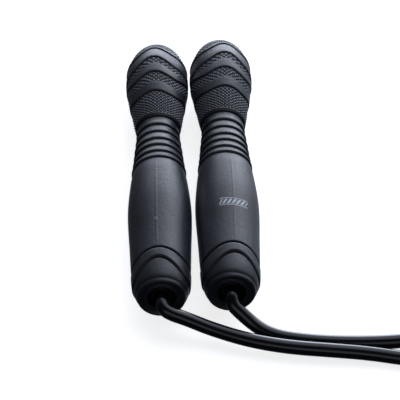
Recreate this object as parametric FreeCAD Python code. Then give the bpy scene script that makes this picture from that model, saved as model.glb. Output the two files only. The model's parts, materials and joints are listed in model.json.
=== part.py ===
"""A ball-bearing jump rope: two moulded handles that spin on the ends of one cord, lying on a floor.

Units are millimetres. +Z is up and the floor is z = 0. The handles lie side by side along Y, with
their mouths towards -Y and their bulb ends towards +Y. The origin is on the floor, under the middle
of the pair of handles. Each handle piece is first built around the Z axis, with z = 0 at the face of
the mouth and +Z into the handle, and is then laid down in its place.
"""
import FreeCAD, Part
import math
import os

V = FreeCAD.Vector
Z_AXIS = V(0, 0, 1)

# ---------------------------------------------------------------- driving dimensions: the handles
HANDLE_LENGTH = 195.0
BULB_RADIUS = 17.0           # the widest part of the butt, which the handle lies on
BULB_DEPTH = 168.0           # how far the widest part is from the mouth
RIM_RADIUS = 13.1            # flat end face around the mouth
AXIS_HEIGHT = BULB_RADIUS + 0.01   # the grip only just clears the floor
BULB_SPACING = 34.4          # between the two axes, at the bulbs
TOE_IN_DEG = 0.22            # each handle turns in a little towards the bulbs
STAGGER = 3.0                # the right handle lies this much further back

# Sections of the grip from its end face to the widest part of its bulb: (depth from the mouth, radius)
GRIP_SECTIONS = [
    (0, RIM_RADIUS), (3, 14.1), (8, 15.05), (17, 15.45), (35, 15.95), (60, 16.8), (82, 15.3),
    (100, 13.5), (112, 12.4), (124, 11.45), (134, 12.4), (145, 14.5), (157, 16.4),
    (BULB_DEPTH, BULB_RADIUS),
]
NECK_GROOVES = [93.0, 98.4, 104.0, 109.6, 115.6, 122.0, 128.8]
COLLAR_GROOVES = [9.0, 18.5]
GROOVE_HALF_WIDTH = 0.7
GROOVE_DEPTH = 0.55

# ---------------------------------------------------------------- driving dimensions: the core
CORE_RADIUS = 8.8
CORE_FRONT = 0.8             # the grip laps over the core's front end by this much
CORE_REAR = 172.0
MOUTH_RADIUS = 7.3
CORE_BORE_RADIUS = 6.5
KEY_RADIUS = 9.7             # rings on the core that key the soft grip to it
KEY_WIDTH = 2.0
KEY_DEPTHS = [24.0, 60.0, 96.0, 150.0]
PLUG_HEAD = 3.0
PLUG_SPIGOT = 12.0

# ---------------------------------------------------------------- driving dimensions: the bearing
BEARING_FRONT = 5.0
BEARING_WIDTH = 4.5
BEARING_RADIUS = 7.0         # a 9 x 14 x 4.5 ball bearing
BEARING_BORE_RADIUS = 4.5
INNER_RACE_RADIUS = 5.15
OUTER_RACE_INNER_RADIUS = 6.25
BALL_RADIUS = 0.8
BALL_COUNT = 9
BALL_PITCH_RADIUS = 5.7
BALL_CLEARANCE = 0.05
CAGE_WALL = 0.8
CAGE_FRONT_OFFSET = -0.6     # from the ball centres
CAGE_REAR_OFFSET = 1.3
SHIELD_THICKNESS = 0.25
SHIELD_INSET = 0.2
SHIELD_SEAT_RADIUS = 6.5
SHIELD_INNER_RADIUS = 5.3
CIRCLIP_WIDTH = 1.0
CIRCLIP_INNER_RADIUS = 6.0
CIRCLIP_GROOVE_RADIUS = 7.85
CIRCLIP_GAP_DEG = 40.0

# ---------------------------------------------------------------- driving dimensions: the cord
CORD_RADIUS = 3.75
SLEEVE_BORE_RADIUS = 3.85
SLEEVE_FRONT = 1.2
SLEEVE_BOSS_RADIUS = 4.9
SLEEVE_CHAMFER = 0.4
WASHER_THICKNESS = 0.8
WASHER_RADIUS = 5.7
FERRULE_LENGTH = 8.0
FERRULE_RADIUS = 5.6
CORD_EXIT_DEPTH = 2.0        # where the free cord starts, just inside the sleeve
CORD_END_DEPTH = 19.0        # where the cord is cut off, behind its ferrule

CORD_STRAIGHT = 2.4          # how far out of the mouth it runs on straight

# The free cord's two stretches, from just outside the mouth to the coil
LEFT_ROUTE = [
    (-17.0, -105.8, 15.3), (-12.6, -107.8, 13.4), (-6.5, -109.0, 11.7), (0.4, -111.4, 10.0),
    (6.8, -113.6, 8.45), (19.8, -118.4, 6.9), (32.8, -122.4, 6.1), (48.6, -125.5, 5.5),
    (66.4, -127.7, 5.4), (86.6, -129.3, 4.3), (106.4, -133.5, 3.75), (124.6, -136.6, 3.75),
    (154.0, -137.0, 3.75),
]
RIGHT_ROUTE = [
    (18.2, -102.1, 14.2), (21.6, -104.5, 11.4), (25.2, -106.5, 8.7), (29.2, -108.9, 6.2),
    (35.0, -112.5, 4.35), (42.7, -116.1, 3.75), (57.0, -119.2, 3.75), (72.8, -120.8, 3.75),
    (91.0, -121.2, 3.75), (110.0, -120.0, 3.75), (117.5, -111.1, 3.75), (120.7, -99.5, 3.75),
    (121.5, -86.6, 4.0), (121.7, -80.0, 4.5),
]
COIL_CENTRE = (176.0, -88.0)
COIL_INNER_TURN = 29.6       # radius of the innermost turn's centreline
COIL_OUTER_TURN = 47.5
COIL_LAYERS = 4
TIE_THICKNESS = 1.2
TIE_ANGLE_DEG = 24.0
TIE_AT_DEG = 35.0            # around the coil, from +X


# ---------------------------------------------------------------- building blocks
def revolved(outline):
    """A solid of revolution about Z from a closed outline of (radius, z) points."""
    points = [V(r, 0, z) for r, z in outline]
    face = Part.Face(Part.makePolygon(points + points[:1]))
    return face.revolve(V(0, 0, 0), Z_AXIS, 360)


def ring(inner, outer, start, end):
    """A plain ring about Z."""
    return revolved([(inner, start), (outer, start), (outer, end), (inner, end)])


def disc(radius, start, end):
    """A plain cylinder about Z."""
    return Part.makeCylinder(radius, end - start, V(0, 0, start))


def ball_positions():
    """The centres of the bearing's balls."""
    middle = BEARING_FRONT + BEARING_WIDTH / 2
    for i in range(BALL_COUNT):
        angle = 2 * math.pi * i / BALL_COUNT
        yield V(BALL_PITCH_RADIUS * math.cos(angle), BALL_PITCH_RADIUS * math.sin(angle), middle)


def ball_track(radius):
    """The ring that the balls sweep through, as a torus."""
    middle = BEARING_FRONT + BEARING_WIDTH / 2
    return Part.makeTorus(BALL_PITCH_RADIUS, radius, V(0, 0, middle))


# ---------------------------------------------------------------- the handle's own pieces
def make_core_tube():
    """The rigid tube inside the grip: mouth, circlip groove, bearing seat and long bore."""
    bearing_rear = BEARING_FRONT + BEARING_WIDTH
    groove_front = BEARING_FRONT - CIRCLIP_WIDTH
    tube = revolved([
        (MOUTH_RADIUS, CORE_FRONT), (CORE_RADIUS, CORE_FRONT), (CORE_RADIUS, CORE_REAR),
        (CORE_BORE_RADIUS, CORE_REAR), (CORE_BORE_RADIUS, bearing_rear),
        (BEARING_RADIUS, bearing_rear), (BEARING_RADIUS, BEARING_FRONT),
        (CIRCLIP_GROOVE_RADIUS, BEARING_FRONT), (CIRCLIP_GROOVE_RADIUS, groove_front),
        (MOUTH_RADIUS, groove_front),
    ])
    for depth in KEY_DEPTHS:
        tube = tube.fuse(ring(CORE_RADIUS - 1, KEY_RADIUS, depth, depth + KEY_WIDTH))
    return tube.removeSplitter()


def make_end_plug():
    """The plug that closes the core tube's rear end."""
    spigot = disc(CORE_BORE_RADIUS, CORE_REAR - PLUG_SPIGOT, CORE_REAR)
    head = disc(CORE_RADIUS, CORE_REAR, CORE_REAR + PLUG_HEAD)
    return spigot.fuse(head).removeSplitter()


def grip_body():
    """The grip's outer form, solid: a curved side, then half an ellipsoid for the butt."""
    rim = V(RIM_RADIUS, 0, 0)
    pole = V(0, 0, HANDLE_LENGTH)
    side = Part.BSplineCurve()
    side.interpolate([V(r, 0, z) for z, r in GRIP_SECTIONS])
    butt = Part.Ellipse(pole, V(BULB_RADIUS, 0, BULB_DEPTH), V(0, 0, BULB_DEPTH))
    quarter = Part.Arc(butt, butt.parameter(pole), butt.parameter(V(BULB_RADIUS, 0, BULB_DEPTH)))
    edges = [side.toShape(), quarter.toShape(), Part.makeLine(pole, V(0, 0, 0)),
             Part.makeLine(V(0, 0, 0), rim)]
    outline = Part.Wire(Part.__sortEdges__(edges))
    return Part.Face(outline).revolve(V(0, 0, 0), Z_AXIS, 360), side


def groove_cutter(side, depth):
    """A V-shaped ring that cuts a groove into the grip at one depth."""
    radius = side.value(side.parameter(V(BULB_RADIUS, 0, depth))).x
    crest = radius + 1.0
    half = GROOVE_HALF_WIDTH * (1 + 1.0 / GROOVE_DEPTH)
    return revolved([(radius - GROOVE_DEPTH, depth), (crest, depth - half), (crest, depth + half)])


def make_grip():
    """The soft moulded grip, with its neck rings, collar rings and the pocket for the core."""
    grip, side = grip_body()
    mouth = disc(MOUTH_RADIUS, -1, CORE_FRONT)
    pocket = disc(CORE_RADIUS, CORE_FRONT, CORE_REAR + PLUG_HEAD)
    keys = [ring(CORE_RADIUS - 1, KEY_RADIUS, depth, depth + KEY_WIDTH) for depth in KEY_DEPTHS]
    grooves = [groove_cutter(side, depth) for depth in NECK_GROOVES + COLLAR_GROOVES]
    return grip.cut([mouth, pocket] + keys + grooves)


def make_circlip():
    """The open spring ring that holds the bearing in the core tube."""
    clip = ring(CIRCLIP_INNER_RADIUS, CIRCLIP_GROOVE_RADIUS - 0.05,
                BEARING_FRONT - CIRCLIP_WIDTH, BEARING_FRONT)
    wedge = Part.makeCylinder(2 * CIRCLIP_GROOVE_RADIUS, 2 * CIRCLIP_WIDTH,
                              V(0, 0, BEARING_FRONT - 1.5 * CIRCLIP_WIDTH), Z_AXIS, CIRCLIP_GAP_DEG)
    wedge.rotate(V(0, 0, 0), Z_AXIS, 90 - CIRCLIP_GAP_DEG / 2)
    return clip.cut(wedge)


# ---------------------------------------------------------------- the bearing
def make_outer_race():
    """The outer race, with a ball track and a seat for a shield at each end."""
    rear = BEARING_FRONT + BEARING_WIDTH
    seat = SHIELD_INSET + SHIELD_THICKNESS
    race = revolved([
        (SHIELD_SEAT_RADIUS, BEARING_FRONT), (BEARING_RADIUS, BEARING_FRONT), (BEARING_RADIUS, rear),
        (SHIELD_SEAT_RADIUS, rear), (SHIELD_SEAT_RADIUS, rear - seat),
        (OUTER_RACE_INNER_RADIUS, rear - seat), (OUTER_RACE_INNER_RADIUS, BEARING_FRONT + seat),
        (SHIELD_SEAT_RADIUS, BEARING_FRONT + seat),
    ])
    return race.cut(ball_track(BALL_RADIUS + BALL_CLEARANCE))


def make_inner_race():
    """The inner race, with its ball track."""
    race = ring(BEARING_BORE_RADIUS, INNER_RACE_RADIUS, BEARING_FRONT, BEARING_FRONT + BEARING_WIDTH)
    return race.cut(ball_track(BALL_RADIUS + BALL_CLEARANCE))


def make_balls():
    """All the balls, as one group of separate solids."""
    return Part.makeCompound([Part.makeSphere(BALL_RADIUS, centre) for centre in ball_positions()])


def make_cage():
    """The crown cage that spaces the balls."""
    middle = BEARING_FRONT + BEARING_WIDTH / 2
    cage = ring(BALL_PITCH_RADIUS - CAGE_WALL / 2, BALL_PITCH_RADIUS + CAGE_WALL / 2,
                middle + CAGE_FRONT_OFFSET, middle + CAGE_REAR_OFFSET)
    pockets = [Part.makeSphere(BALL_RADIUS + BALL_CLEARANCE, centre) for centre in ball_positions()]
    return cage.cut(pockets)


def make_shield(front):
    """A thin steel shield at the bearing's front or rear."""
    if front:
        start = BEARING_FRONT + SHIELD_INSET
    else:
        start = BEARING_FRONT + BEARING_WIDTH - SHIELD_INSET - SHIELD_THICKNESS
    return ring(SHIELD_INNER_RADIUS, SHIELD_SEAT_RADIUS, start, start + SHIELD_THICKNESS)


# ---------------------------------------------------------------- the pieces that stay with the cord
def make_swivel_sleeve():
    """The flanged sleeve through the bearing, which the cord comes out of."""
    rear = BEARING_FRONT + BEARING_WIDTH + WASHER_THICKNESS
    return revolved([
        (SLEEVE_BORE_RADIUS + SLEEVE_CHAMFER, SLEEVE_FRONT),
        (SLEEVE_BOSS_RADIUS - SLEEVE_CHAMFER / 2, SLEEVE_FRONT),
        (SLEEVE_BOSS_RADIUS, SLEEVE_FRONT + SLEEVE_CHAMFER / 2),
        (SLEEVE_BOSS_RADIUS, BEARING_FRONT), (BEARING_BORE_RADIUS, BEARING_FRONT),
        (BEARING_BORE_RADIUS, rear), (SLEEVE_BORE_RADIUS, rear),
        (SLEEVE_BORE_RADIUS, SLEEVE_FRONT + SLEEVE_CHAMFER),
    ])


def make_thrust_washer():
    """The washer between the bearing's inner race and the ferrule."""
    start = BEARING_FRONT + BEARING_WIDTH
    return ring(BEARING_BORE_RADIUS, WASHER_RADIUS, start, start + WASHER_THICKNESS)


def make_cord_ferrule():
    """The crimped ferrule that stops the cord from pulling out of the sleeve."""
    start = BEARING_FRONT + BEARING_WIDTH + WASHER_THICKNESS
    end = start + FERRULE_LENGTH
    waist = FERRULE_RADIUS - 0.5
    return revolved([
        (CORD_RADIUS, start), (FERRULE_RADIUS, start), (FERRULE_RADIUS, start + 2),
        (waist, start + 2.6), (waist, end - 2.6), (FERRULE_RADIUS, end - 2),
        (FERRULE_RADIUS, end), (CORD_RADIUS, end),
    ])


def make_cord_end():
    """The straight end of the cord, through the sleeve, washer and ferrule."""
    return disc(CORD_RADIUS, CORD_EXIT_DEPTH, CORD_END_DEPTH)


# ---------------------------------------------------------------- laying a handle in its place
class HandlePlace:
    """Where one handle lies."""

    def __init__(self, side):
        self.toe = -side * TOE_IN_DEG
        reach = math.radians(TOE_IN_DEG)
        half_span = (HANDLE_LENGTH * math.cos(reach) + STAGGER) / 2
        self.mouth = V(side * (BULB_SPACING / 2 + BULB_DEPTH * math.sin(reach)),
                       -half_span + (STAGGER if side > 0 else 0), AXIS_HEIGHT)

    def lay(self, shape):
        """Turn a shape from the Z axis onto the handle's own axis, and move it into place."""
        placed = shape.copy()
        placed.rotate(V(0, 0, 0), V(1, 0, 0), -90)
        placed.rotate(V(0, 0, 0), Z_AXIS, -self.toe)
        placed.translate(self.mouth)
        return placed

    def inward(self):
        """The direction from the mouth into the handle."""
        angle = math.radians(self.toe)
        return V(math.sin(angle), math.cos(angle), 0)

    def at_depth(self, depth):
        """A point on the handle's axis."""
        return self.mouth + self.inward() * depth


def handle_pieces():
    """The pieces of one handle, around the Z axis."""
    return {
        "grip": make_grip(),
        "core_tube": make_core_tube(),
        "end_plug": make_end_plug(),
        "circlip": make_circlip(),
        "bearing_outer_race": make_outer_race(),
        "bearing_inner_race": make_inner_race(),
        "bearing_balls": make_balls(),
        "bearing_cage": make_cage(),
        "bearing_front_shield": make_shield(True),
        "bearing_rear_shield": make_shield(False),
        "swivel_sleeve": make_swivel_sleeve(),
        "thrust_washer": make_thrust_washer(),
        "cord_ferrule": make_cord_ferrule(),
        "cord_end": make_cord_end(),
    }


# ---------------------------------------------------------------- the free cord
def cord_tube(points, label):
    """A round tube along straight runs joined by tangent arcs."""
    runs = [(b - a).Length for a, b in zip(points, points[1:])]
    edges = []
    start = points[0]
    length = 0.0
    radii = []
    for i in range(1, len(points) - 1):
        before = (points[i] - points[i - 1]).normalize()
        after = (points[i + 1] - points[i]).normalize()
        turn = before.getAngle(after)
        reach = 0.45 * min(runs[i - 1], runs[i])
        radius = reach / math.tan(turn / 2)
        radii.append(radius)
        arc_start = points[i] - before * reach
        arc_end = points[i] + after * reach
        bisector = (after - before).normalize()
        centre = points[i] + bisector * (radius / math.cos(turn / 2))
        middle = centre - bisector * radius
        edges.append(Part.LineSegment(start, arc_start).toShape())
        edges.append(Part.Arc(arc_start, middle, arc_end).toShape())
        length += (arc_start - start).Length + radius * turn
        start = arc_end
    edges.append(Part.LineSegment(start, points[-1]).toShape())
    length += (points[-1] - start).Length
    path = Part.Wire(edges)
    section = Part.Wire(Part.makeCircle(CORD_RADIUS, points[0], (points[1] - points[0]).normalize()))
    tube = path.makePipeShell([section], True, False)
    expected = math.pi * CORD_RADIUS ** 2 * length
    print(f"{label}: length {length:.1f}, volume {tube.Volume:.0f} of {expected:.0f}, "
          f"radii {' '.join(f'{r:.0f}' for r in radii)}")
    return tube


def coil_section(grow, top):
    """The coil's section as a face in the XZ plane, grown to each side, with its own height."""
    inner = COIL_INNER_TURN - CORD_RADIUS - grow
    outer = COIL_OUTER_TURN + CORD_RADIUS + grow
    corners = [V(inner, 0, 0), V(outer, 0, 0), V(outer, 0, top), V(inner, 0, top)]
    return Part.Face(Part.makePolygon(corners + corners[:1]))


def rounded_ring(grow, angle):
    """The coil's section turned about Z and grown outwards, with rounded corners."""
    section = coil_section(grow, 2 * CORD_RADIUS * COIL_LAYERS + grow)
    body = section.revolve(V(0, 0, 0), Z_AXIS, angle)
    rims = [edge for edge in body.Edges if edge.Curve.TypeId == "Part::GeomCircle"]
    return body.makeFillet(CORD_RADIUS * 0.9, rims)


def make_cord_coil():
    """The put-away length of the cord, as the coil's outer shape."""
    coil = rounded_ring(0, 360)
    coil.translate(V(COIL_CENTRE[0], COIL_CENTRE[1], 0))
    return coil


def make_coil_tie():
    """The strap around one side of the coil."""
    strap = rounded_ring(TIE_THICKNESS, TIE_ANGLE_DEG).cut(rounded_ring(0, 360))
    under = coil_section(0, TIE_THICKNESS / 2).revolve(V(0, 0, 0), Z_AXIS, TIE_ANGLE_DEG)
    strap = strap.fuse(under)
    strap.rotate(V(0, 0, 0), Z_AXIS, TIE_AT_DEG)
    strap.translate(V(COIL_CENTRE[0], COIL_CENTRE[1], 0))
    return strap


# ---------------------------------------------------------------- everything, written out
def export(name, shape):
    """Write one node, after checking that it is sound."""
    print(f"{name}: valid {shape.isValid()}, solids {len(shape.Solids)}, volume {shape.Volume:.1f}")
    shape.exportStep(f"parts/{name}.step")


def main():
    os.makedirs("parts", exist_ok=True)
    pieces = handle_pieces()
    places = {"left": HandlePlace(-1), "right": HandlePlace(1)}
    for side, place in places.items():
        print(f"{side} mouth {place.mouth}, inward {place.inward()}")
        for name, shape in pieces.items():
            export(f"{side}_{name}", place.lay(shape))
    for side, route in (("left", LEFT_ROUTE), ("right", RIGHT_ROUTE)):
        exit_run = [places[side].at_depth(CORD_EXIT_DEPTH), places[side].at_depth(-CORD_STRAIGHT)]
        points = exit_run + [V(*point) for point in route]
        export(f"{side}_cord_lead", cord_tube(points, side))
    export("cord_coil", make_cord_coil())
    export("coil_tie", make_coil_tie())


main()
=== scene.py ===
"""The looks of a ball-bearing jump rope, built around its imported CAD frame.

Two moulded handles lie side by side on a pale floor. One round cord leaves the left handle, runs to
a tied coil and comes back to the right handle. Sizes are in millimetres in the dataclasses and in
the shaders, and in metres on every Blender object.
"""

import json
import logging
import math
from dataclasses import dataclass
from enum import Enum
from typing import Any, Callable, Iterable, Sequence

import bmesh
import bpy
import numpy as np
from mathutils import Matrix, Vector


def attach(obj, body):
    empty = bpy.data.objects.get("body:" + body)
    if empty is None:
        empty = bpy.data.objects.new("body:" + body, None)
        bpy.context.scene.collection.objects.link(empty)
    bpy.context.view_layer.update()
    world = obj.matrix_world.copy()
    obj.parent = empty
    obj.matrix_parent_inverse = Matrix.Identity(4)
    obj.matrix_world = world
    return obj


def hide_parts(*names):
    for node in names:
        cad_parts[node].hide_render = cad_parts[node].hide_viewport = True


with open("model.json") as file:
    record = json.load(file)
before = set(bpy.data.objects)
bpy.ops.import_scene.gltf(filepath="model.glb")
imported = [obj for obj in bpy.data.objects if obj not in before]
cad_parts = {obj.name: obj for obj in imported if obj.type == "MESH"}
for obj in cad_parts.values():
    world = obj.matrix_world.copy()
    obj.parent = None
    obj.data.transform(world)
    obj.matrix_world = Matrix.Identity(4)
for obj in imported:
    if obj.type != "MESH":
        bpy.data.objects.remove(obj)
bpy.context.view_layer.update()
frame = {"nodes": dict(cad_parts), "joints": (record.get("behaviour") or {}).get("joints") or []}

MM = 0.001
TURN = 2 * math.pi
Point = tuple[float, float, float]
Colour = tuple[float, float, float]

log = logging.getLogger("jump_rope")


class Side(Enum):
    """Which of the two handles."""

    LEFT = "left"
    RIGHT = "right"


class Mark(Enum):
    """What is printed on a grip."""

    PLAIN = "plain"
    BARS = "bars"


class Lay(Enum):
    """Which way a metal part's tool marks run."""

    TURNED = "turned"
    POLISHED = "polished"
    STAMPED = "stamped"


# ---------------------------------------------------------------- shader maths
class Field:
    """One output socket of a shader node, with arithmetic that adds Math nodes."""

    def __init__(self, net: "Net", socket: bpy.types.NodeSocket) -> None:
        """Wrap a socket.

        Args:
            net: the tree that the socket is in.
            socket: the output socket.
        """
        self.net = net
        self.socket = socket

    def __add__(self, other: "Field | float") -> "Field":
        """Sum."""
        return self.net.maths("ADD", self, other)

    def __radd__(self, other: float) -> "Field":
        """Sum with a number on the left."""
        return self.net.maths("ADD", other, self)

    def __sub__(self, other: "Field | float") -> "Field":
        """Difference."""
        return self.net.maths("SUBTRACT", self, other)

    def __rsub__(self, other: float) -> "Field":
        """Difference from a number."""
        return self.net.maths("SUBTRACT", other, self)

    def __mul__(self, other: "Field | float") -> "Field":
        """Product."""
        return self.net.maths("MULTIPLY", self, other)

    def __rmul__(self, other: float) -> "Field":
        """Product with a number on the left."""
        return self.net.maths("MULTIPLY", other, self)

    def __truediv__(self, other: "Field | float") -> "Field":
        """Quotient."""
        return self.net.maths("DIVIDE", self, other)

    def __rtruediv__(self, other: float) -> "Field":
        """A number divided by this."""
        return self.net.maths("DIVIDE", other, self)

    def __pow__(self, other: float) -> "Field":
        """Power."""
        return self.net.maths("POWER", self, other)

    def __abs__(self) -> "Field":
        """Distance from zero."""
        return self.net.maths("ABSOLUTE", self)

    def __lt__(self, other: "Field | float") -> "Field":
        """1 where this is less."""
        return self.net.maths("LESS_THAN", self, other)

    def sine(self) -> "Field":
        """Sine."""
        return self.net.maths("SINE", self)

    def fraction(self) -> "Field":
        """What is left after the whole number."""
        return self.net.maths("FRACT", self)

    def ramp(self, low: float, high: float) -> "Field":
        """0 below low, 1 above high, and smooth between.

        Args:
            low: where it starts to rise.
            high: where it reaches 1. If it is less than low, the ramp falls instead.

        Returns:
            The ramp.
        """
        ends = {"From Min": min(low, high), "From Max": max(low, high),
                "To Min": 0.0 if low < high else 1.0, "To Max": 1.0 if low < high else 0.0}
        return self.net.node("ShaderNodeMapRange", {"interpolation_type": "SMOOTHSTEP"},
                             {"Value": self, **ends})


class Net:
    """The node tree of one material or world, with one method that makes its nodes."""

    def __init__(self, owner: bpy.types.Material | bpy.types.World) -> None:
        """Start with an empty tree.

        Args:
            owner: the material or world that the tree belongs to.
        """
        owner.use_nodes = True
        self.owner = owner
        self.tree = owner.node_tree
        self.tree.nodes.clear()

    def node(self, kind: str, settings: dict[str, Any] | None = None,
             inputs: dict[str | int, Any] | None = None, out: str | int = 0) -> Field:
        """Add a node.

        Args:
            kind: the node's type.
            settings: its properties, set before its sockets.
            inputs: its sockets, by name or number, as values or fields.
            out: the output that is wanted.

        Returns:
            The output, as a field.
        """
        made = self.tree.nodes.new(kind)
        for key, value in (settings or {}).items():
            setattr(made, key, value)
        for key, value in (inputs or {}).items():
            if isinstance(value, Field):
                self.tree.links.new(value.socket, made.inputs[key])
            else:
                made.inputs[key].default_value = value
        return Field(self, made.outputs[out]) if made.outputs else Field(self, None)

    def maths(self, operation: str, *values: "Field | float") -> Field:
        """Add a Math node.

        Args:
            operation: what it does.
            values: what it does it to.

        Returns:
            The result.
        """
        return self.node("ShaderNodeMath", {"operation": operation}, dict(enumerate(values)))

    def blend(self, share: "Field | float", a: "Field | Colour", b: "Field | Colour") -> Field:
        """Mix two colours.

        Args:
            share: how much of b, from 0 to 1.
            a: the first colour.
            b: the second colour.

        Returns:
            The mixed colour.
        """
        pair = [c if isinstance(c, Field) else (*c, 1.0) for c in (a, b)]
        return self.node("ShaderNodeMix", {"data_type": "RGBA", "clamp_factor": True},
                         {0: share, 6: pair[0], 7: pair[1]}, 2)

    def place(self, at: Matrix | None = None) -> Field:
        """Object coordinates in millimetres.

        Args:
            at: the place that they are measured from, or None for the object's own origin.

        Returns:
            The coordinates.
        """
        spot = at or Matrix.Identity(4)
        return self.node("ShaderNodeMapping", {"vector_type": "TEXTURE"}, {
            "Vector": self.node("ShaderNodeTexCoord", out="Object"),
            "Location": spot.to_translation(), "Rotation": spot.to_euler("XYZ"),
            "Scale": (MM, MM, MM)})

    def axes(self, vector: Field) -> tuple[Field, Field, Field]:
        """The three parts of a vector."""
        first = self.node("ShaderNodeSeparateXYZ", None, {0: vector})
        return (first, *(Field(self, first.socket.node.outputs[i]) for i in (1, 2)))

    def vector(self, x: "Field | float", y: "Field | float", z: "Field | float") -> Field:
        """A vector from its three parts."""
        return self.node("ShaderNodeCombineXYZ", None, {0: x, 1: y, 2: z})

    def noise(self, at: Field, size: float, detail: float = 3.0, rough: float = 0.5) -> Field:
        """Soft noise from 0 to 1.

        Args:
            at: where, in millimetres.
            size: how large its features are, in millimetres.
            detail: how many finer layers it has.
            rough: how strong those are.

        Returns:
            The noise.
        """
        return self.node("ShaderNodeTexNoise", None, {
            "Vector": at, "Scale": 1.0 / size, "Detail": detail, "Roughness": rough})

    def bump(self, height: Field, reach: float, strength: float = 1.0,
             under: Field | None = None) -> Field:
        """A normal from a height.

        Args:
            height: the height, from 0 to 1.
            reach: how high 1 is, in millimetres.
            strength: how much of it shows.
            under: a normal that it adds to.

        Returns:
            The normal.
        """
        inputs = {"Height": height, "Distance": reach * MM, "Strength": strength}
        if under is not None:
            inputs["Normal"] = under
        return self.node("ShaderNodeBump", None, inputs)

    def surface(self, varying: dict[str, Field], constant: dict[str, Any]) -> bpy.types.Material:
        """Finish the material with its shader.

        Args:
            varying: what changes over the surface.
            constant: what doesn't.

        Returns:
            The material.
        """
        shader = self.node("ShaderNodeBsdfPrincipled", None, {**constant, **varying})
        self.node("ShaderNodeOutputMaterial", None, {"Surface": shader})
        return self.owner


# ---------------------------------------------------------------- finishes
@dataclass(frozen=True)
class Finish:
    """What every finish has.

    Args:
        name: the material's name.
        colour: its base colour.
        rough: its mean roughness.
    """

    name: str
    colour: Colour
    rough: float

    def net(self) -> Net:
        """An empty tree for this finish."""
        return Net(bpy.data.materials.new(self.name))

    def shade(self, share: float) -> Colour:
        """The base colour, made darker or lighter."""
        return tuple(min(1.0, c * share) for c in self.colour)

    def material(self, place: Matrix | None = None) -> bpy.types.Material:
        """The material.

        Args:
            place: where the piece lies, for patterns that follow its axis.

        Returns:
            The material.
        """
        raise NotImplementedError


@dataclass(frozen=True)
class MouldedGrip(Finish):
    """Soft satin PVC with a fine mould grain, painted shade in its grooves and painted highlights
    on its knurl crests and mould line.

    Args:
        mark: what is printed on the belly.
        mark_depth: how far from the mouth the print's middle is.
        mark_size: the print's size around the grip and along it.
        scuff_depth: how far from the mouth a small scuff is, or 0 for none.
        crest_highlight: the painted highlight on the knurling's tops.
        print_colour: the print's ink.
        girth: the radius that distances around the grip are measured at.
    """

    mark: Mark = Mark.PLAIN
    mark_depth: float = 51.2
    mark_size: tuple[float, float] = (15.0, 5.4)
    scuff_depth: float = 0.0
    # Painted highlight colour for the knurl crests.
    crest_highlight: Colour = (0.33, 0.345, 0.38)
    print_colour: Colour = (0.58, 0.63, 0.67)
    girth: float = 16.2

    def print_mask(self, net: Net, around: Field, depth: Field) -> Field:
        """Where the print is: slanted bars between two thin lines.

        Args:
            net: the material's tree.
            around: distance around the grip from its top, in millimetres.
            depth: distance from the mouth, in millimetres.

        Returns:
            1 on the print, 0 elsewhere.
        """
        half_width, half_height = self.mark_size[0] / 2, self.mark_size[1] / 2
        across = depth - self.mark_depth
        leaning = around + across * 0.55
        inside = (abs(across) < half_height * 0.62) * (abs(leaning) < half_width * 0.94)
        bars = (leaning / 2.35 + 0.3).fraction() < 0.56
        rules = (abs(abs(across) - half_height * 0.9) < 0.22) * (abs(around) < half_width)
        speckle = net.noise(net.vector(around, depth, 0.0), 0.35, 2.0).ramp(0.3, 0.42)
        return net.maths("MAXIMUM", inside * bars, rules) * speckle

    def material(self, place: Matrix | None = None) -> bpy.types.Material:
        """The material.

        Args:
            place: the handle's place, with its mould line on top.

        Returns:
            The material.
        """
        net = self.net()
        at = net.place(place)
        x, depth, z = net.axes(at)
        around = net.maths("ARCTAN2", 0.0 - x, z) * self.girth
        top = z.ramp(0.0, 4.0)
        cloud = net.noise(at, 14.0, 4.0)
        grain = net.noise(at, 0.42, 2.0, 0.6)
        skin = net.noise(at, 2.6, 2.0)
        streak = net.noise(net.vector(around * 1.6, depth * 0.12, 3.0), 0.9, 3.0, 0.65)
        belly = depth.ramp(20.0, 26.0) * depth.ramp(92.0, 86.0)
        # Where the painted highlight along the mould line goes, broken up by skin noise, on the
        # belly only.
        line = abs(around).ramp(0.55, 0.2) * skin.ramp(0.35, 0.55) * belly
        colour = net.blend(cloud.ramp(0.3, 0.7), self.shade(0.8), self.shade(1.2))
        colour = net.blend(streak.ramp(0.58, 0.78) * 0.5, colour, self.shade(2.0))
        rough = self.rough + (cloud - 0.5) * 0.16 + (grain - 0.5) * 0.2
        rough = rough - streak.ramp(0.6, 0.8) * 0.03
        # Painted highlight along the mould line.
        colour = net.blend(line * 0.7, colour, self.shade(2.6))
        height = grain * 1.1 + skin * 1.5 + streak * 0.8
        # Painted light from the mesh: positive values are painted shade in grooves, ring steps and
        # knurl valleys, negative values are painted highlight on the knurl crests.
        shade_and_highlight = net.node("ShaderNodeAttribute", {"attribute_name": "shade_and_highlight"}, out="Fac")
        # Painted highlight on the knurl crests, where the mesh value is negative.
        colour = net.blend(shade_and_highlight.ramp(0.0, -0.9), colour, self.crest_highlight)
        shade_and_highlight = net.maths("MAXIMUM", shade_and_highlight, 0.0)
        # Painted shade in the grooves, ring steps and knurl valleys.
        colour = net.blend(shade_and_highlight * 0.9, colour, self.shade(0.12))
        rough = rough + shade_and_highlight * 0.3
        if self.scuff_depth:
            reach = ((around - 0.6) ** 2.0 + ((depth - self.scuff_depth) * 0.8) ** 2.0) ** 0.5
            scuff = reach.ramp(1.5, 0.5) * top
            colour = net.blend(scuff * 0.8, colour, self.shade(4.5))
            height = height + scuff * 1.6
        if self.mark is Mark.BARS:
            print_at = self.print_mask(net, around, depth) * top
            colour = net.blend(print_at, colour, self.print_colour)
            rough = rough + print_at * 0.12
        return net.surface({"Base Color": colour, "Roughness": rough,
                            "Normal": net.bump(height, 0.08, 0.9)},
                           {"IOR": 1.5, "Specular IOR Level": 0.5})


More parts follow.
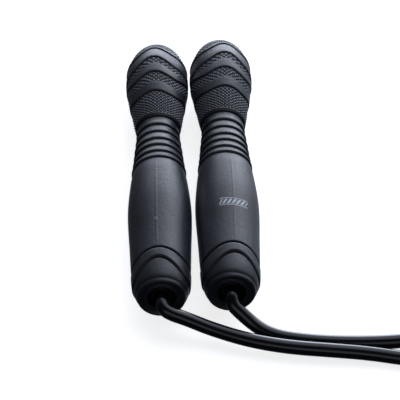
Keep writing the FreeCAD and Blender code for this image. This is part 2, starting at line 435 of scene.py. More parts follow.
@dataclass(frozen=True)
class MouldedPlastic(Finish):
    """A hard plastic with flow marks and a fine grain.

    Args:
        grain: the size of its grain.
    """

    grain: float = 0.35

    def material(self, place: Matrix | None = None) -> bpy.types.Material:
        """The material.

        Args:
            place: the handle's place.

        Returns:
            The material.
        """
        net = self.net()
        at = net.place(place)
        x, depth, z = net.axes(at)
        flow = net.noise(net.vector(x, depth * 0.2, z), 3.0, 4.0)
        grain = net.noise(at, self.grain, 2.0)
        colour = net.blend(flow.ramp(0.3, 0.7), self.shade(0.85), self.shade(1.2))
        return net.surface({"Base Color": colour, "Roughness": self.rough + (grain - 0.5) * 0.18,
                            "Normal": net.bump(grain + flow * 0.5, 0.03, 0.5)}, {"IOR": 1.5})


@dataclass(frozen=True)
class Metal(Finish):
    """Bare metal with tool marks and a trace of oil.

    Args:
        lay: which way the tool marks run.
    """

    lay: Lay = Lay.TURNED

    def material(self, place: Matrix | None = None) -> bpy.types.Material:
        """The material.

        Args:
            place: the handle's place.

        Returns:
            The material.
        """
        net = self.net()
        at = net.place(place)
        x, depth, z = net.axes(at)
        from_axis = (x * x + z * z) ** 0.5
        marks = {
            Lay.TURNED: lambda: net.noise(
                net.vector(from_axis * 9.0, depth * 9.0, 0.0), 1.0, 3.0, 0.6),
            Lay.POLISHED: lambda: net.noise(at, 0.5, 4.0),
            Lay.STAMPED: lambda: net.noise(net.vector(x * 6.0, depth, z * 1.2), 1.0, 4.0, 0.6),
        }[self.lay]()
        stain = net.noise(at, 2.2, 3.0)
        colour = net.blend(stain.ramp(0.35, 0.75), self.shade(1.05), self.shade(0.78))
        rough = self.rough + (marks - 0.5) * 0.22 + (stain - 0.5) * 0.12
        return net.surface({"Base Color": colour, "Roughness": rough,
                            "Normal": net.bump(marks, 0.012, 0.6)}, {"Metallic": 1.0})


@dataclass(frozen=True)
class CordPlastic(Finish):
    """Glossy extruded PVC with faint scuffs."""

    def material(self, place: Matrix | None = None) -> bpy.types.Material:
        """The material.

        Args:
            place: not used, as the cord has no single axis.

        Returns:
            The material.
        """
        net = self.net()
        at = net.place()
        cloud = net.noise(at, 9.0, 4.0)
        pits = net.noise(at, 0.55, 3.0, 0.6)
        scuffs = net.noise(at, 3.0, 5.0, 0.7).ramp(0.62, 0.72)
        colour = net.blend(cloud.ramp(0.3, 0.7), self.shade(0.85), self.shade(1.15))
        colour = net.blend(scuffs * 0.25, colour, self.shade(1.9))
        rough = self.rough + (cloud - 0.5) * 0.10 + scuffs * 0.10 + (pits - 0.5) * 0.06
        return net.surface({"Base Color": colour, "Roughness": rough,
                            "Normal": net.bump(pits + cloud * 0.6, 0.02, 0.5)},
                           {"IOR": 1.5, "Coat Weight": 0.25, "Coat Roughness": 0.1})


@dataclass(frozen=True)
class Webbing(Finish):
    """Narrow woven strap with a brushed loop face.

    Args:
        pitch: the distance between threads.
    """

    pitch: float = 1.1

    def material(self, place: Matrix | None = None) -> bpy.types.Material:
        """The material.

        Args:
            place: the strap's place: X across the coil, Y along the turns.

        Returns:
            The material.
        """
        net = self.net()
        at = net.place(place)
        x, y, z = net.axes(at)
        along = (x + z) * (TURN / self.pitch)
        across = y * (TURN / self.pitch)
        weave = (along * 0.5).sine() * (across * 0.5).sine()
        threads = net.maths("ABSOLUTE", (along + weave.ramp(-0.2, 0.2) * math.pi).sine())
        fuzz = net.noise(at, 0.22, 3.0, 0.7)
        wear = net.noise(at, 6.0, 4.0)
        height = weave * 0.5 + threads * 0.35 + fuzz * 0.4
        colour = net.blend(weave.ramp(-0.8, 0.8), self.shade(0.6), self.shade(1.35))
        colour = net.blend(wear.ramp(0.45, 0.8) * fuzz, colour, self.shade(2.4))
        return net.surface({"Base Color": colour, "Roughness": self.rough + (fuzz - 0.5) * 0.2,
                            "Normal": net.bump(height, 0.22, 0.8)},
                           {"Sheen Weight": 0.35, "Sheen Roughness": 0.5})


@dataclass(frozen=True)
class StudioFloor(Finish):
    """A matt white board that glows a little, so that shadows on it stay pale.

    Args:
        glow: how much light it gives off.
    """

    glow: float = 0.5

    def material(self, place: Matrix | None = None) -> bpy.types.Material:
        """The material.

        Args:
            place: not used.

        Returns:
            The material.
        """
        net = self.net()
        fibre = net.noise(net.place(), 60.0, 3.0)
        colour = net.blend(fibre, self.shade(0.985), self.shade(1.0))
        return net.surface({"Base Color": colour},
                           {"Roughness": self.rough, "Specular IOR Level": 0.0,
                            "Emission Color": (1.0, 1.0, 1.0, 1.0), "Emission Strength": self.glow})


# ---------------------------------------------------------------- shapes
def smooth_line(points: Sequence[tuple[float, float]]) -> Callable[[np.ndarray], np.ndarray]:
    """A smooth line through points that doesn't swing past any of them.

    Args:
        points: (position, value) pairs in order of position.

    Returns:
        A function from positions to values.
    """
    x, y = (np.array(v, float) for v in zip(*points))
    gap = np.diff(x)
    slope = np.diff(y) / gap
    tangent = np.concatenate([slope[:1], np.zeros(len(x) - 2), slope[-1:]])
    for i in range(1, len(x) - 1):
        if slope[i - 1] * slope[i] > 0:
            w1, w2 = 2 * gap[i] + gap[i - 1], gap[i] + 2 * gap[i - 1]
            tangent[i] = (w1 + w2) / (w1 / slope[i - 1] + w2 / slope[i])

    def line(at: np.ndarray) -> np.ndarray:
        """The value at each position."""
        at = np.clip(at, x[0], x[-1])
        k = np.clip(np.searchsorted(x, at) - 1, 0, len(gap) - 1)
        t = (at - x[k]) / gap[k]
        return (y[k] * (1 + 2 * t) * (1 - t) ** 2 + gap[k] * tangent[k] * t * (1 - t) ** 2
                + y[k + 1] * t * t * (3 - 2 * t) + gap[k] * tangent[k + 1] * t * t * (t - 1))

    return line


def add_piece(name: str, bm: bmesh.types.BMesh, material: bpy.types.Material) -> bpy.types.Object:
    """Make an object at the origin from a finished bmesh.

    Args:
        name: the piece's name.
        bm: its mesh, which is freed.
        material: its material.

    Returns:
        The object.
    """
    for face in bm.faces:
        face.smooth = True
    mesh = bpy.data.meshes.new(name)
    bm.to_mesh(mesh)
    bm.free()
    piece = bpy.data.objects.new(name, mesh)
    bpy.context.scene.collection.objects.link(piece)
    mesh.materials.append(material)
    return piece


def dress(nodes: Iterable[str], material: bpy.types.Material) -> None:
    """Give CAD nodes a material.

    Args:
        nodes: their names.
        material: what they get.
    """
    for name in nodes:
        slots = frame["nodes"][name].data.materials
        slots.clear()
        slots.append(material)


@dataclass
class GripShape:
    """The moulded grip's outer form, in its own frame: Y into the handle, Z up at the mould line.

    Args:
        length: the whole handle.
        bulb_depth: where the butt starts to close.
        bulb_radius: the butt's radius there, under its ridges.
        segments: mesh columns around the grip.
        knurls: knurl diamonds around the grip.
        knurl_height: how deep the knurling is cut.
        sections: (depth, radius) of the body under its ridges.
        neck_lines: the depths of the neck rings' edges.
        wave_lines: the depth of each ridge edge on the bulb, how far it swings, and whether it
            keeps falling at the sides instead of rising to a second crest there.
        neck_lip: how proud each neck ring's lip is.
        neck_drop: how far each neck ring's foot is cut in.
        wave_lip: how proud each bulb ridge's lip is.
        wave_drop: how far each bulb ridge's foot is cut in.
        collar_lines: the collar's grooves: (depth, step in front, step behind, width).
        seam_height: how proud the mould line is.
        front: where the nose ends and the side starts.
        last_row: where the side ends and the butt's rim starts.
        bore: the mouth's radius.
        pocket: the radius of the pocket for the core tube.
        pocket_start: the pocket's front.
        pocket_end: the pocket's closed end.
    """

    length: float = 195.0
    bulb_depth: float = 168.0
    bulb_radius: float = 16.6
    segments: int = 200
    knurls: int = 40
    knurl_height: float = 0.8
    sections: tuple[tuple[float, float], ...] = (
        (2.0, 13.5), (3.0, 13.85), (6.0, 14.45), (10.0, 14.85), (14.5, 15.1), (20.0, 15.5),
        (35.0, 15.96), (60.0, 16.71), (85.0, 15.03), (93.0, 13.85), (100.0, 13.0), (112.0, 11.95),
        (124.0, 10.95), (128.8, 11.3), (134.0, 12.3), (145.0, 14.2), (158.0, 16.12),
        (168.0, 16.6))
    neck_lines: tuple[float, ...] = (93.0, 98.3, 104.0, 109.5, 115.8, 122.2, 128.8)
    wave_lines: tuple[tuple[float, float, bool], ...] = (
        (145.3, 1.0, False), (158.0, 1.9, False), (168.7, 3.2, True), (178.3, 3.0, True))
    neck_lip: float = 0.72
    neck_drop: float = 0.55
    wave_lip: float = 0.4
    wave_drop: float = 0.65
    collar_lines: tuple[tuple[float, float, float, float], ...] = (
        (9.9, 0.0, 0.6, 1.0), (18.6, 0.5, 0.0, 1.45))
    seam_height: float = 0.17
    front: float = 2.0
    last_row: float = 192.2
    bore: float = 7.35
    pocket: float = 8.85
    pocket_start: float = 0.85
    pocket_end: float = 175.0

    def __post_init__(self) -> None:
        """Work out the body's line."""
        self.side = smooth_line(self.sections)

    def body(self, depth: np.ndarray) -> np.ndarray:
        """The radius under the ridges at each depth."""
        along = np.clip((depth - self.bulb_depth) / (self.length - self.bulb_depth), 0.0, 1.0)
        return np.where(depth <= self.bulb_depth, self.side(depth),
                        self.bulb_radius * np.sqrt(1 - along ** 2))

    @staticmethod
    def edge(depth: float, lip: float, drop: float, reach: float) -> list[tuple[float, float]]:
        """One ridge edge: a step that faces the mouth, then a rounded lip and a long slope back.

        Args:
            depth: where the step is.
            lip: how proud the lip is.
            drop: how far the foot is cut in.
            reach: how far the slope runs.

        Returns:
            (depth, height) pairs.
        """
        return [(depth - 1.0, 0.0), (depth - 0.62, -0.3 * drop), (depth - 0.36, -0.95 * drop),
                (depth, -drop), (depth + 0.06, 0.1 * lip), (depth + 0.2, 0.72 * lip),
                (depth + 0.45, 0.95 * lip), (depth + 0.8, lip), (depth + 1.4, 0.97 * lip),
                (depth + reach * 0.6, 0.45 * lip), (depth + reach, 0.0)]

    def heights(self) -> list[tuple[float, float]]:
        """The ridges and grooves on the body, as (depth, height) pairs."""
        made = [(0.0, 0.0)]
        for depth, before, after, wide in self.collar_lines:
            made += [(depth - 1.15 * wide, before), (depth - 0.8 * wide, before * 0.6),
                     (depth - 0.45 * wide, -0.75), (depth, -wide), (depth + 0.45 * wide, -0.8),
                     (depth + 0.8 * wide, after * 0.6), (depth + 1.15 * wide, after)]
        neck_ends = (*self.neck_lines[1:], self.neck_lines[-1] + 2.2)
        for depth, after in zip(self.neck_lines, neck_ends):
            reach = min(after - depth - 1.15, 6.0)
            made += self.edge(depth, self.neck_lip, self.neck_drop, reach)
        wave_depths = [line[0] for line in self.wave_lines]
        for depth, after in zip(wave_depths, [*wave_depths[1:], wave_depths[-1] + 4.2]):
            reach = min(after - depth - 1.1, 7.0)
            made += self.edge(depth, self.wave_lip, self.wave_drop, reach)
        return sorted(made + [(self.length, 0.0)])

    def knurl_share(self) -> list[tuple[float, float]]:
        """How deep the knurling is along the grip, as (depth, share) pairs."""
        made = [(0.0, 0.0)]
        zones = ((130.0, 131.4, 143.9, 144.7), (150.0, 152.6, 156.7, 157.4),
                 (162.6, 165.2, 167.4, 168.1), (180.2, 181.2, 190.0, 191.6))
        for start, full, fade, end in zones:
            made += [(start, 0.0), (full, 1.0), (fade, 1.0), (end, 0.0)]
        return made + [(self.length, 0.0)]

    def wander(self, depth: np.ndarray, angle: np.ndarray) -> np.ndarray:
        """How far each point moves along the grip, so that edges run in waves.

        Args:
            depth: each point's depth before the move.
            angle: each point's angle from the mould line.

        Returns:
            The move, in millimetres.
        """
        cosine, wave = np.abs(np.cos(angle)), np.cos(4 * angle)
        side = np.arccos(np.clip(cosine, 0, 1)) * 4 / math.pi - 1
        low = np.where(side > 0, -1 - 0.8 * side, wave)
        knots = [(self.front, 0 * angle), (9.9, 9.7 * cosine ** 3.5 - 4.9),
                 (18.6, 5.3 * cosine ** 2.5 - 2.6), (40.0, 0 * angle), (128.8, 0 * angle)]
        knots += [(line, swing * (low if falls else wave))
                  for line, swing, falls in self.wave_lines]
        knots += [(191.5, 0 * angle), (self.length, 0 * angle)]
        moved = np.zeros_like(depth)
        for (start, a), (end, b) in zip(knots, knots[1:]):
            inside = (depth >= start) & (depth < end)
            t = np.clip((depth - start) / (end - start), 0, 1)
            moved = np.where(inside, a + (b - a) * t, moved)
        return moved

    def rows(self) -> tuple[np.ndarray, np.ndarray]:
        """The mesh's rows along the outside.

        Returns:
            Each row's depth, and how far round the knurl pattern it is, in segments.
        """
        fine = np.linspace(self.front, self.length - 0.02, 40001)
        radius = self.body(fine)
        arc = np.hypot(np.diff(fine), np.diff(radius))
        steps = np.concatenate([[0], np.cumsum(arc / ((radius[1:] + radius[:-1]) / 2))])
        steps *= self.segments / TURN
        grid_steps = np.arange(1, int(steps[-1]))
        grid = np.interp(grid_steps, steps, fine)
        share = np.interp(grid, *zip(*self.knurl_share()))
        thin = np.where(grid < 93, np.where(grid < 26, 2, 4), 2)
        grid = grid[((share > 0) | (grid_steps % thin == 0)) & (grid < self.last_row)]
        fixed = np.array([d for d, _ in self.heights() if self.front + 0.1 < d < self.last_row])
        clear = np.min(np.abs(grid[:, None] - fixed[None, :]), axis=1) > 0.13
        depths = np.unique(np.concatenate([fixed, grid[clear]]))
        return depths, np.interp(depths, fine, steps)

    def mesh(self) -> bmesh.types.BMesh:
        """The whole grip as one closed shell, with the pocket for its core tube.

        Returns:
            The mesh, in millimetres, in the grip's own frame.
        """
        depths, steps = self.rows()
        slope = (self.body(depths + 0.01) - self.body(depths - 0.01)) / 0.02
        lean = np.hypot(1.0, slope)
        normal_r, normal_d = 1 / lean, -slope / lean
        height = np.interp(depths, *zip(*self.heights()))
        share = np.interp(depths, *zip(*self.knurl_share()))
        nose = [(self.pocket, self.pocket_start), (self.bore, self.pocket_start), (self.bore, -0.1),
                (7.45, -0.75), (7.75, -1.05), (8.15, -1.15), (8.55, -1.05), (8.85, -0.75),
                (9.05, -0.3), (9.5, -0.1), (10.2, -0.2), (10.7, -0.5), (11.1, -0.9), (11.6, -1.1),
                (12.1, -1.02), (12.45, -0.65), (12.62, -0.1), (12.72, 0.5), (12.85, 1.05),
                (12.98, 1.3), (13.15, 1.5), (13.38, 1.76)]
        butt = [(8.0, 191.98), (7.4, 192.28), (7.0, 192.2), (6.6, 192.3), (6.2, 192.9),
                (5.4, 193.5), (4.2, 194.12), (2.8, 194.6), (1.6, 194.86), (1.35, 194.66),
                (0.9, 194.6), (0.0, 194.6)]
        inner = [(0.0, self.pocket_end), (4.0, self.pocket_end), (self.pocket, self.pocket_end)]
        outer = list(zip(self.body(depths) + height * normal_r, depths + height * normal_d))
        chain = nose + outer + butt + inner
        first = len(nose)

        bm = bmesh.new()
        # The float layer carries painted light for the material: painted shade in the relief's
        # hollows and painted highlight on the knurl crests.
        row, shade_and_highlight = bm.verts.layers.int.new("row"), bm.verts.layers.float.new("shade_and_highlight")
        verts = []
        for i, (radius, depth) in enumerate(chain):
            vert = bm.verts.new((0.0, depth, radius))
            vert[row] = i
            verts.append(vert)
        edges = [bm.edges.new(pair) for pair in zip(verts, verts[1:] + verts[:1])
                 if pair[0].co != pair[1].co]
        bmesh.ops.spin(bm, geom=verts + edges, cent=(0, 0, 0), axis=(0, 1, 0), angle=TURN,
                       steps=self.segments, use_merge=True, use_duplicate=False)
        bmesh.ops.remove_doubles(bm, verts=bm.verts, dist=1e-4)
        bmesh.ops.recalc_face_normals(bm, faces=bm.faces)

        spots = [v for v in bm.verts if first <= v[row] < first + len(outer)]
        index = np.array([v[row] for v in spots]) - first
        angle = np.array([math.atan2(-v.co.x, v.co.z) for v in spots])
        column = np.round(angle / TURN * self.segments)
        u = column * self.knurls / self.segments
        v = np.round(steps[index] * 4) / 4 * self.knurls / self.segments
        ridge = 1 - np.maximum(*(np.abs((w % 1.0) - 0.5) * 2 for w in (u + v, u - v)))
        crest = np.clip(ridge * 1.6, 0, 1)
        cut = (crest - 0.8) * self.knurl_height * share[index]
        # Painted shade, 1 in grooves, step feet and knurl valleys, less the painted highlight on
        # the knurl crests.
        shade_less_highlight = np.maximum(np.clip(-height[index] / 0.45, 0, 1), (1 - crest) * 0.9 * share[index])
        shade_less_highlight -= crest * share[index]
        seam_along = np.interp(depths[index], (19.6, 23, 88, 92), (0, 1, 1, 0))
        seam = self.seam_height * seam_along * (column % (self.segments // 2) == 0)
        moved = depths[index] + self.wander(depths[index], angle)
        proud = height[index] + cut + seam
        radius = self.body(moved) + proud * normal_r[index]
        along = moved + proud * normal_d[index]
        for vert, r, d, a, h in zip(spots, radius, along, angle, shade_less_highlight):
            vert.co = (-r * math.sin(a), d, r * math.cos(a))
            vert[shade_and_highlight] = h
        return bm


@dataclass
class Handle:
    """One handle: its moulded grip, and the finishes of the pieces inside it.

    Args:
        side: which handle.
        roll_deg: how far its mould line is turned towards -X.
        grip: the grip's finish.
    """

    side: Side
    roll_deg: float
    grip: MouldedGrip

    def joint(self) -> dict[str, Any]:
        """The handle's joint in the frame."""
        wanted = f"{self.side.value}_handle_spin"
        return next(j for j in frame["joints"] if j["name"] == wanted)

    @property
    def mouth(self) -> Vector:
        """The middle of the mouth."""
        return Vector(self.joint()["pos_m"])

    @property
    def inward(self) -> Vector:
        """The direction from the mouth into the handle."""
        return Vector(self.joint()["axis"]).normalized()

    def at_depth(self, depth: float) -> Vector:
        """A point on the handle's axis, in metres, from its depth in millimetres."""
        return self.mouth + self.inward * depth * MM

    def place(self, rolled: bool = True) -> Matrix:
        """The handle's own frame: X across, Y inward, Z up.

        Args:
            rolled: whether Z is turned to the mould line.

        Returns:
            The frame as a matrix.
        """
        up = Vector((0, 0, 1))
        across = self.inward.cross(up).normalized()
        turned = Matrix((across, self.inward, across.cross(self.inward))).transposed().to_4x4()
        roll = Matrix.Rotation(-math.radians(self.roll_deg if rolled else 0.0), 4, "Y")
        return Matrix.Translation(self.mouth) @ turned @ roll

    def build(self, shape: GripShape) -> None:
        """Make the grip and dress the CAD pieces inside it.

        Args:
            shape: the grip's form.
        """
        name = self.side.value
        place = self.place()
        bm = shape.mesh()
        bmesh.ops.transform(bm, matrix=place @ Matrix.Scale(MM, 4), verts=bm.verts)
        grip = add_piece(f"{name}_moulded_grip", bm, self.grip.material(place))
        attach(grip, f"{name}_handle")
        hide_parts(f"{name}_grip")
        log.info("%s: %d vertices", grip.name, len(grip.data.vertices))
        straight = self.place(rolled=False)
        for finish, parts in INNER_FINISHES:
            material = finish.material(straight)
            dress([f"{name}_{part}" for part in parts], material)
            log.info("%s %s: %s", name, finish.name, ", ".join(parts))


INNER_FINISHES: tuple[tuple[Finish, tuple[str, ...]], ...] = (
    (MouldedPlastic("core_nylon", (0.01, 0.01, 0.011), 0.55), ("core_tube", "end_plug")),
    (Metal("blackened_spring_steel", (0.035, 0.035, 0.038), 0.45, Lay.STAMPED), ("circlip",)),
    (Metal("ground_bearing_steel", (0.6, 0.6, 0.61), 0.26),
     ("bearing_outer_race", "bearing_inner_race")),
    (Metal("polished_ball_steel", (0.75, 0.75, 0.77), 0.08, Lay.POLISHED), ("bearing_balls",)),
    (MouldedPlastic("cage_nylon", (0.55, 0.5, 0.4), 0.5, 0.2), ("bearing_cage",)),
    (Metal("blackened_shield_steel", (0.05, 0.05, 0.054), 0.4, Lay.STAMPED),
     ("bearing_front_shield", "bearing_rear_shield")),
    (MouldedPlastic("turned_acetal", (0.014, 0.014, 0.016), 0.34, 0.25), ("swivel_sleeve",)),
    (Metal("washer_steel", (0.6, 0.6, 0.61), 0.3), ("thrust_washer",)),
    (Metal("crimped_aluminium", (0.7, 0.7, 0.71), 0.36), ("cord_ferrule",)),
)


@dataclass
class Coil:
    """The put-away length of the cord.

    Args:
        centre: the middle of the coil on the floor.
        inner: radius of the innermost turn's centreline.
        outer: radius of the outermost turn's centreline.
        layers: how many layers lie on each other.
        rise: from one layer to the next.
        climb_start: the part of a layer after which the cord climbs to the next.
        first_height: the lowest layer's centreline above the floor.
        turns: all its turns, from the front to where the cord leaves the top layer.
        way_down: the part of a turn in which the cord comes down outside the coil.
        way_down_radius: the radius at which it reaches the floor.
        points_per_turn: control points in each turn.
        tie_at_deg: where the strap is, from +X.
        tie_lift: how far the strap lifts the turns.
    """

    centre: tuple[float, float] = (176.0, -88.0)
    inner: float = 29.6
    outer: float = 47.5
    layers: int = 4
    rise: float = 7.55
    climb_start: float = 0.86
    first_height: float = 3.75
    turns: float = 9.458
    way_down: float = 0.292
    way_down_radius: float = 55.5
    points_per_turn: int = 16
    tie_at_deg: float = 47.0
    tie_lift: float = 1.0

    def point(self, turn: float) -> Point:
        """A control point on the coil.

        Args:
            turn: how far along the coil it is, in turns.

        Returns:
            The point, in millimetres.
        """
        angle = -math.pi / 2 + turn * TURN
        per_layer = self.turns / self.layers
        layer = min(int(turn / per_layer), self.layers - 1)
        share = min(turn / per_layer - layer, 1.0)
        span = self.outer - self.inner
        radius = self.outer - span * share if layer % 2 == 0 else self.inner + span * share
        late = max(0.0, (share - self.climb_start) / (1 - self.climb_start))
        climb = late if layer < self.layers - 1 else 0.0
        height = self.first_height + self.rise * (layer + climb * climb * (3 - 2 * climb))
        if turn > self.turns:
            down = min((turn - self.turns) / self.way_down, 1.0)
            radius = self.outer + (self.way_down_radius - self.outer) * min(1.0, down * 2.2)
            ease = down * down * (3 - 2 * down)
            height += (self.first_height - height) * ease
        off_tie = math.remainder(angle - math.radians(self.tie_at_deg), TURN)
        height += self.tie_lift * math.exp(-(off_tie / 0.5) ** 2)
        radius /= 0.75 + 0.25 * math.cos(TURN / self.points_per_turn)
        return (self.centre[0] + radius * math.cos(angle),
                self.centre[1] + radius * math.sin(angle), height)

    def points(self) -> list[Point]:
        """All its control points, from the first layer's start to the floor beside it."""
        count = round((self.turns + self.way_down) * self.points_per_turn)
        return [self.point(i / self.points_per_turn) for i in range(1, count)]


@dataclass
class Cord:
    """The one cord, from inside the left handle, through the coil, to inside the right handle.

    Args:
        diameter: the cord's own.
        length: its whole length; not used.
        inside: how deep each of its ends is in its handle.
        exit_depth: where the free cord starts in the handle.
        straight: how far out of the mouth it runs on straight.
        left_route: its way from the left mouth to the coil.
        right_route: its way from the right mouth to the coil.
        finish: its finish.
    """

    diameter: float = 7.5
    length: float = 2750.0
    inside: float = 19.0
    exit_depth: float = 2.0
    straight: float = 2.4
    left_route: tuple[Point, ...] = (
        (-17.0, -105.8, 15.3), (-12.6, -107.8, 13.4), (-6.5, -109.0, 11.7), (0.4, -111.4, 10.0),
        (6.8, -113.6, 8.45), (19.8, -118.4, 6.9), (32.8, -122.4, 6.1), (48.6, -125.5, 5.5),
        (66.4, -127.7, 5.4), (86.6, -129.3, 4.3), (106.4, -133.5, 3.75), (124.6, -136.6, 3.75),
        (154.0, -137.0, 3.75))
    right_route: tuple[Point, ...] = (
        (18.2, -102.1, 14.2), (21.6, -104.5, 11.4), (25.2, -106.5, 8.7), (29.2, -108.9, 6.2),
        (35.0, -112.5, 4.35), (42.7, -116.1, 3.75), (57.0, -119.2, 3.75), (72.8, -120.8, 3.75),
        (91.0, -121.2, 3.75), (110.0, -120.0, 3.75), (117.5, -111.1, 3.75), (120.7, -99.5, 3.75),
        (121.5, -86.6, 4.0), (121.7, -80.0, 4.5))
    finish: CordPlastic = CordPlastic("cord_pvc", (0.008, 0.009, 0.011), 0.15)

    def ends(self, handle: Handle) -> list[Vector]:
        """The points inside one handle and just outside it, from the inside out."""
        depths = (self.inside, self.inside * 0.55, self.exit_depth, -self.straight)
        return [handle.at_depth(depth) for depth in depths]

    def build(self, left: Handle, right: Handle, coil: Coil, tie: bpy.types.Object) -> None:
        """Make the cord.

        Args:
            left: the handle that it starts in.
            right: the handle that it ends in.
            coil: its put-away length.
            tie: the strap around the coil; not used.
        """
        way = [*self.left_route, *coil.points(), *reversed(self.right_route)]
        points = [*self.ends(left), *(Vector(p) * MM for p in way), *reversed(self.ends(right))]
        curve = bpy.data.curves.new("jump_cord", "CURVE")
        curve.dimensions = "3D"
        curve.bevel_depth = self.diameter / 2 * MM
        curve.bevel_resolution = 6
        curve.resolution_u = curve.render_resolution_u = 6
        curve.use_fill_caps = True
        spline = curve.splines.new("NURBS")
        spline.points.add(len(points) - 1)
        for control, point in zip(spline.points, points):
            control.co = (*point, 1.0)
        spline.order_u = 3
        spline.use_endpoint_u = True
        spline.use_smooth = True
        cord = bpy.data.objects.new("jump_cord", curve)
        bpy.context.scene.collection.objects.link(cord)
        curve.materials.append(self.finish.material())
        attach(cord, "rope")
        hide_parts("left_cord_end", "right_cord_end", "left_cord_lead", "right_cord_lead",
                    "cord_coil")
        tuple(left.mouth)
        log.info("jump_cord: %d control points", len(points))


@dataclass
class Tie:
    """The strap that holds the coil together.

    Args:
        width: along the turns.
        thickness: of the strap.
        tab_length: how far its loose end laps over itself.
        corner: radius of its corners around the bundle.
        slack: room between the bundle and the strap, across both.
        rim: how far its edges are rounded.
        finish: its finish.
    """

    width: float = 16.0
    thickness: float = 1.1
    tab_length: float = 13.0
    corner: float = 3.6
    slack: float = 0.3
    rim: float = 0.3
    finish: Webbing = Webbing("tie_webbing", (0.03, 0.03, 0.032), 0.85)

    def box(self, bm: bmesh.types.BMesh, size: Point, middle: Point, cuts: int) -> list:
        """Add a box that is divided along the turns.

        Args:
            bm: the mesh that gets it.
            size: its size.
            middle: its middle.
            cuts: how many times it is cut.

        Returns:
            Its faces.
        """
        made = bmesh.ops.create_cube(bm, size=1.0)
        bmesh.ops.scale(bm, vec=size, verts=made["verts"])
        bmesh.ops.translate(bm, vec=middle, verts=made["verts"])
        faces = list({face for vert in made["verts"] for face in vert.link_faces})
        for i in range(1, cuts):
            spot = middle[1] + size[1] * (i / cuts - 0.5)
            geom = faces + list({e for f in faces for e in f.edges}) + list(
                {v for f in faces for v in f.verts})
            cut = bmesh.ops.bisect_plane(bm, geom=geom, plane_co=(0, spot, 0), plane_no=(0, 1, 0))
            faces = [g for g in cut["geom"] if isinstance(g, bmesh.types.BMFace)]
        return faces

    @staticmethod
    def round_edges(bm: bmesh.types.BMesh, edges: list[bmesh.types.BMEdge], offset: float,
                    segments: int = 2) -> None:
        """Round some edges by an offset, in a number of steps."""
        bmesh.ops.bevel(bm, geom=edges, offset=offset, offset_type="OFFSET", segments=segments,
                        profile=0.5, affect="EDGES", material=-1)

    def build(self, coil: Coil, cord: Cord) -> bpy.types.Object:
        """Make the strap.

        Args:
            coil: what it goes around.
            cord: what the coil is wound from.

        Returns:
            The strap.
        """
        radius = cord.diameter / 2
        mean = (coil.inner + coil.outer) / 2
        wide = coil.outer - coil.inner + 2 * radius + self.slack
        high = coil.rise * (coil.layers - 1) + 2 * radius + self.slack
        bottom = coil.tie_lift + 0.1
        bm = bmesh.new()
        self.box(bm, (wide, self.width, high), (0, 0, bottom + high / 2), 10)
        caps = [f for f in bm.faces if abs(f.normal.y) > 0.9
                and abs(f.calc_center_median().y) > self.width / 2 - 1]
        bmesh.ops.delete(bm, geom=caps, context="FACES_ONLY")
        long_edges = [e for e in bm.edges if len(e.link_faces) == 2
                      and e.link_faces[0].normal.dot(e.link_faces[1].normal) < 0.5]
        self.round_edges(bm, long_edges, self.corner, 6)
        bmesh.ops.recalc_face_normals(bm, faces=bm.faces)
        face = bm.faces[:][0]
        if face.normal.dot(face.calc_center_median() - Vector((0, 0, high / 2))) < 0:
            bmesh.ops.reverse_faces(bm, faces=bm.faces)
        bmesh.ops.solidify(bm, geom=bm.faces[:], thickness=-self.thickness)
        bmesh.ops.recalc_face_normals(bm, faces=bm.faces)
        rims = [e for e in bm.edges if len(e.link_faces) == 2 and e.calc_face_angle(0.0) > 1.2]
        self.round_edges(bm, rims, self.rim)
        tab_top = bottom + high + self.thickness
        tab = self.box(bm, (self.tab_length, self.width, self.thickness * 0.9),
                       (-1.5, 0, tab_top + self.thickness * 0.45), 10)
        edges = [e for e in {e for f in tab for e in f.edges} if e.calc_face_angle(0.0) > 1.2]
        self.round_edges(bm, edges, self.rim + 0.05)
        start = math.radians(coil.tie_at_deg)
        for vert in bm.verts:
            angle, reach = start + vert.co.y / mean, mean + vert.co.x
            vert.co = Vector((coil.centre[0] + reach * math.cos(angle),
                              coil.centre[1] + reach * math.sin(angle), vert.co.z)) * MM
        bmesh.ops.recalc_face_normals(bm, faces=bm.faces)
        middle = Vector((*coil.centre, 0)) * MM + Vector(
            (math.cos(start), math.sin(start), 0)) * mean * MM
        place = Matrix.Translation(middle) @ Matrix.Rotation(start, 4, "Z")
        strap = add_piece("coil_strap", bm, self.finish.material(place))
        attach(strap, "rope")
        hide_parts("coil_tie")
        log.info("coil_strap: %d vertices", len(strap.data.vertices))
        return strap


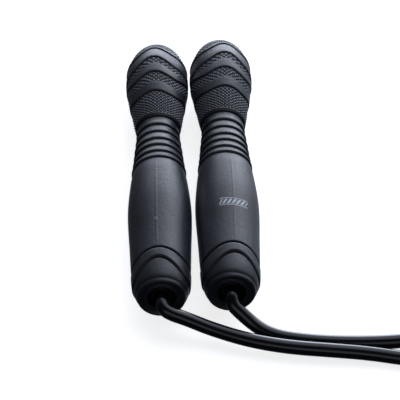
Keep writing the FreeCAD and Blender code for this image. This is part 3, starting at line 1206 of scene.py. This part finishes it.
@dataclass
class Studio:
    """The floor, the light and the camera.

    Args:
        aim: where the camera looks, in millimetres.
        turn_deg: how far its line of sight is turned from +Y towards +X.
        down_deg: how far it looks down.
        distance: how far away it is, in millimetres.
        lens: its focal length.
        floor_size: the side of the floor, in metres.
        floor_finish: the floor's finish.
        key_at: where the soft box is, in metres.
        key_size: the side of the soft box, in metres.
        key_power: the soft box's power, in watts.
    """

    aim: Point = (3.65, -25.44, 17.0)
    turn_deg: float = 1.455
    down_deg: float = 42.0
    distance: float = 2000.0
    lens: float = 343.7
    floor_size: float = 12.0
    floor_finish: StudioFloor = StudioFloor("floor_board", (0.9, 0.9, 0.9), 1.0, 0.8)
    key_at: Point = (0.9, 1.2, 1.0)
    key_size: float = 0.9
    key_power: float = 1.5

    def camera(self) -> None:
        """Make the camera."""
        turn, down = math.radians(self.turn_deg), math.radians(self.down_deg)
        sight = Vector((math.sin(turn) * math.cos(down), math.cos(turn) * math.cos(down),
                        -math.sin(down)))
        data = bpy.data.cameras.new("camera")
        data.sensor_width, data.lens = 36.0, self.lens
        data.clip_start, data.clip_end = 0.01, 50.0
        camera = bpy.data.objects.new("camera", data)
        camera.location = (Vector(self.aim) - sight * self.distance) * MM
        camera.rotation_euler = sight.to_track_quat("-Z", "Y").to_euler()
        bpy.context.scene.collection.objects.link(camera)
        bpy.context.scene.camera = camera

    def floor(self) -> None:
        """Make the floor."""
        bm = bmesh.new()
        bmesh.ops.create_grid(bm, x_segments=8, y_segments=8, size=self.floor_size / 2)
        floor = add_piece("floor", bm, self.floor_finish.material())
        floor.visible_glossy = False
        floor.visible_diffuse = False

    def sky(self) -> None:
        """Soft light from all round: bright above and behind, dim in front and below."""
        world = bpy.data.worlds.new("studio")
        bpy.context.scene.world = world
        net = Net(world)
        x, y, z = net.axes(net.node("ShaderNodeTexCoord", out="Generated"))
        behind, right, above = y.ramp(-0.25, 0.4), x.ramp(-0.6, 0.45), z.ramp(-0.05, 0.10)
        dome = (0.05 + right * 0.63) * (0.3 + above * 0.7) * (2.3 - x.ramp(0.3, 0.75) * 0.9)
        band = z.ramp(0.6, 0.25) * z.ramp(-0.4, -0.1) * x.ramp(0.7, 0.3) * x.ramp(-0.5, 0.0) * 3.8
        level = 0.02 + behind * (dome + band) + y.ramp(-0.6, -0.9) * z.ramp(0.1, 0.3) * 0.5
        light = net.node("ShaderNodeBackground", None,
                         {"Color": (0.9, 0.97, 1.12, 1.0), "Strength": level})
        net.node("ShaderNodeOutputWorld", None, {"Surface": light})

    def key_light(self) -> None:
        """Add a soft box that points at the origin."""
        data = bpy.data.lights.new("key_box", "AREA")
        data.shape, data.size, data.energy = "SQUARE", self.key_size, self.key_power
        lamp = bpy.data.objects.new("key_box", data)
        lamp.location = self.key_at
        lamp.rotation_euler = (-Vector(self.key_at)).to_track_quat("-Z", "Y").to_euler()
        bpy.context.scene.collection.objects.link(lamp)

    def build(self) -> None:
        """Make everything, and set how light becomes colour."""
        self.camera()
        self.floor()
        self.sky()
        self.key_light()
        bpy.context.scene.view_settings.view_transform = "Standard"
        log.info("studio: camera, floor and lights")


def main() -> None:
    """Build everything in order."""
    logging.basicConfig(level=logging.INFO, format="%(name)s: %(message)s")
    Studio().build()
    base = (0.021, 0.024, 0.033)
    left = Handle(Side.LEFT, 6.5, MouldedGrip("left_grip_pvc", base, 0.35, scuff_depth=42.0))
    right = Handle(Side.RIGHT, -11.0, MouldedGrip("right_grip_pvc", base, 0.35, mark=Mark.BARS))
    coil, cord = Coil(), Cord()
    tie = Tie().build(coil, cord)
    cord.build(left, right, coil, tie)
    shape = GripShape()
    left.build(shape)
    right.build(shape)


if __name__ == "__main__":
    main()
